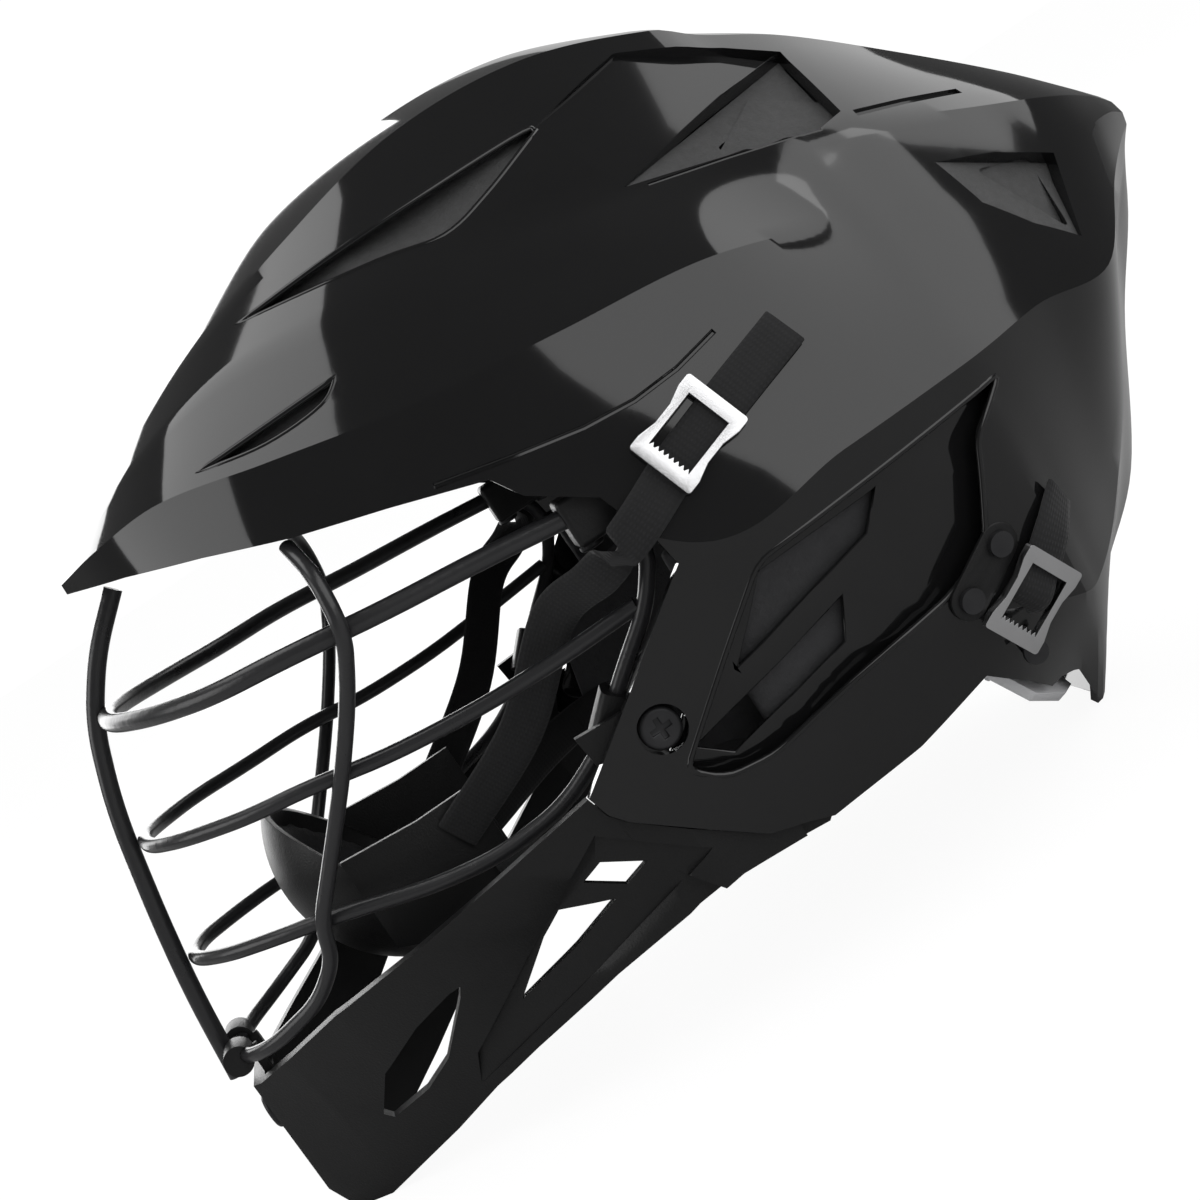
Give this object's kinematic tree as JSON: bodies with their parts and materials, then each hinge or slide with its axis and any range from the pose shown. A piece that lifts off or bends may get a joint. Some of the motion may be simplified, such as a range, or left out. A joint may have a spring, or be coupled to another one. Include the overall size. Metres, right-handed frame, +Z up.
{
  "type": "lacrosse helmet",
  "caption": "Hard-shell field helmet with a short visor, wire face guard, chin guard, side windows, webbing chin straps with metal buckles, a chin cup, foam liner and nape adjuster.",
  "frame": {"origin": "on the table the helmet stands on, at the middle of its bounding box", "axes": "+Z up, -Y towards the face opening (front), +X towards the wearer's left"},
  "size_m": [0.2166, 0.3602, 0.242],
  "materials": {
    "gloss_shell": "gloss",
    "matte_guard": "matte",
    "panel_plastic": "satin, textured",
    "wire_coating": "satin",
    "bright_steel": "polished",
    "black_steel": "satin",
    "webbing": "woven",
    "foam": "matte foam",
    "cup_shell": "matte",
    "grey_plastic": "satin"
  },
  "bodies": {
    "helmet": {"shell": "gloss_shell", "chin_guard": "matte_guard", "chin_clip": "matte_guard", "loop_socket_left": "matte_guard", "loop_socket_right": "matte_guard", "side_clip_left": "matte_guard", "side_clip_right": "matte_guard", "window_panel_left": "panel_plastic", "window_panel_right": "panel_plastic", "rear_tab_left": "panel_plastic", "rear_tab_right": "panel_plastic", "centre_bar": "wire_coating", "top_loop": "wire_coating", "middle_loop": "wire_coating", "lower_loop": "wire_coating", "side_bars": "wire_coating", "cheek_screw_left": "black_steel", "cheek_screw_right": "black_steel", "socket_screws_left": "black_steel", "socket_screws_right": "black_steel", "chin_screw": "black_steel", "rear_rivets_left": "black_steel", "rear_rivets_right": "black_steel", "nape_rivet_left": "black_steel", "nape_rivet_right": "black_steel", "front_strap_left": "webbing", "front_strap_right": "webbing", "rear_strap_left": "webbing", "rear_strap_right": "webbing", "brow_pad": "foam", "crown_pad": "foam", "side_pad_left": "foam", "side_pad_right": "foam", "rear_pad": "foam", "ear_pad_left": "foam", "ear_pad_right": "foam"},
    "chin_cup": {"chin_cup": "cup_shell", "cup_pad": "foam"},
    "nape_cradle": {"nape_cradle": "grey_plastic"},
    "front_buckle_left": {"front_buckle_left": "bright_steel"},
    "front_buckle_right": {"front_buckle_right": "bright_steel"},
    "rear_buckle_left": {"rear_buckle_left": "bright_steel"},
    "rear_buckle_right": {"rear_buckle_right": "bright_steel"}
  },
  "joints": [
    {"name": "front_buckle_left_tilt", "type": "hinge", "parent": "helmet", "child": "front_buckle_left", "pos_m": [0.10246, 0.02176, 0.14116], "axis": [-0.227, -0.3021, 0.9258], "range_deg": [0, 35]},
    {"name": "front_buckle_right_tilt", "type": "hinge", "parent": "helmet", "child": "front_buckle_right", "pos_m": [-0.10246, 0.02176, 0.14116], "axis": [-0.227, 0.3021, -0.9258], "range_deg": [0, 35]},
    {"name": "rear_buckle_left_tilt", "type": "hinge", "parent": "helmet", "child": "rear_buckle_left", "pos_m": [0.09729, 0.07153, 0.06206], "axis": [0.2948, -0.4689, 0.8326], "range_deg": [0, 35]},
    {"name": "rear_buckle_right_tilt", "type": "hinge", "parent": "helmet", "child": "rear_buckle_right", "pos_m": [-0.09729, 0.07153, 0.06206], "axis": [0.2948, 0.4689, -0.8326], "range_deg": [0, 35]},
    {"name": "chin_cup_tilt", "type": "hinge", "parent": "helmet", "child": "chin_cup", "pos_m": [0, -0.0855, 0.0595], "axis": [1, 0, 0], "range_deg": [-8, 8]},
    {"name": "nape_cradle_slide", "type": "slide", "parent": "helmet", "child": "nape_cradle", "axis": [0, -1, 0], "range_m": [0, 0.01]}
  ]
}
